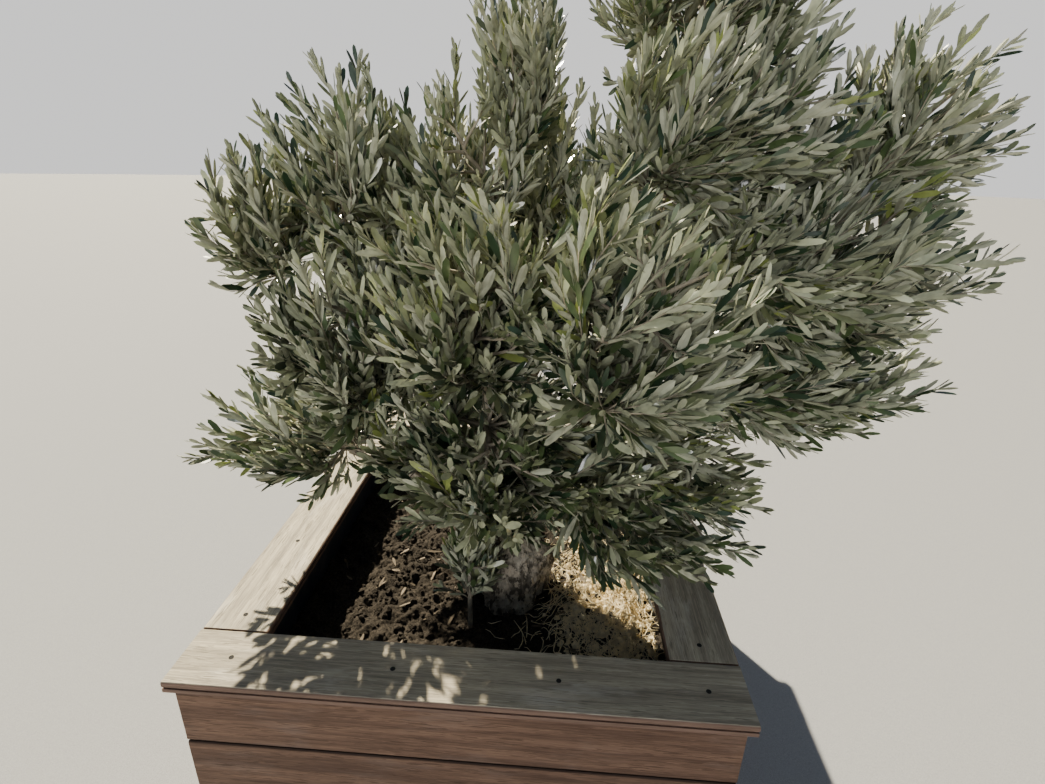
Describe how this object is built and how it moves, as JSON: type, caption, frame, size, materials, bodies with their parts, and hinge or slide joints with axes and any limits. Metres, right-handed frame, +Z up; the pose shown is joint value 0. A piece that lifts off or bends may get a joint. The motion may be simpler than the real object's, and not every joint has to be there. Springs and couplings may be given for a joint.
{
  "type": "olive tree in a timber planter",
  "caption": "Bushy olive tree with a short gnarled trunk and spreading boughs, in a rectangular boarded timber planter.",
  "frame": {"origin": "centre of the flat underside of the planter", "axes": "+Z up, +X to the right along the front of the planter, +Y from the front to the back"},
  "size_m": [1.711, 1.4316, 2.1937],
  "materials": {
    "cap_timber": "sun-bleached bare timber",
    "side_timber": "oiled red-brown timber",
    "liner": "dark matt liner",
    "soil": "crumbly dry soil",
    "bark": "rough grey-brown bark",
    "foliage": "grey-green leathery leaves"
  },
  "bodies": {
    "root": {"cap_front": "cap_timber", "cap_back": "cap_timber", "cap_left": "cap_timber", "cap_right": "cap_timber", "board_front_1": "side_timber", "board_back_1": "side_timber", "board_left_1": "side_timber", "board_right_1": "side_timber", "board_front_2": "side_timber", "board_back_2": "side_timber", "board_left_2": "side_timber", "board_right_2": "side_timber", "board_front_3": "side_timber", "board_back_3": "side_timber", "board_left_3": "side_timber", "board_right_3": "side_timber", "board_front_4": "side_timber", "board_back_4": "side_timber", "board_left_4": "side_timber", "board_right_4": "side_timber", "board_front_5": "side_timber", "board_back_5": "side_timber", "board_left_5": "side_timber", "board_right_5": "side_timber", "tub": "liner", "soil": "soil", "trunk": "bark", "left_bough": "bark", "centre_bough": "bark", "right_bough": "bark", "back_bough": "bark", "front_bough": "bark", "low_left_bough": "bark", "low_right_bough": "bark", "left_middle_bough": "bark", "back_left_bough": "bark", "back_right_bough": "bark", "front_right_bough": "bark", "right_side_bough": "bark", "right_low_bough": "bark", "summit_bough": "bark", "left_upper_foliage": "foliage", "left_top_foliage": "foliage", "left_middle_foliage": "foliage", "left_low_foliage": "foliage", "centre_top_foliage": "foliage", "centre_front_foliage": "foliage", "low_front_foliage": "foliage", "spire_foliage": "foliage", "summit_foliage": "foliage", "right_top_foliage": "foliage", "front_right_foliage": "foliage", "right_tip_foliage": "foliage", "right_middle_foliage": "foliage", "right_low_foliage": "foliage", "low_right_foliage": "foliage", "back_left_foliage": "foliage", "back_centre_foliage": "foliage", "back_right_foliage": "foliage", "foot_shoot_foliage": "foliage"}
  },
  "joints": []
}
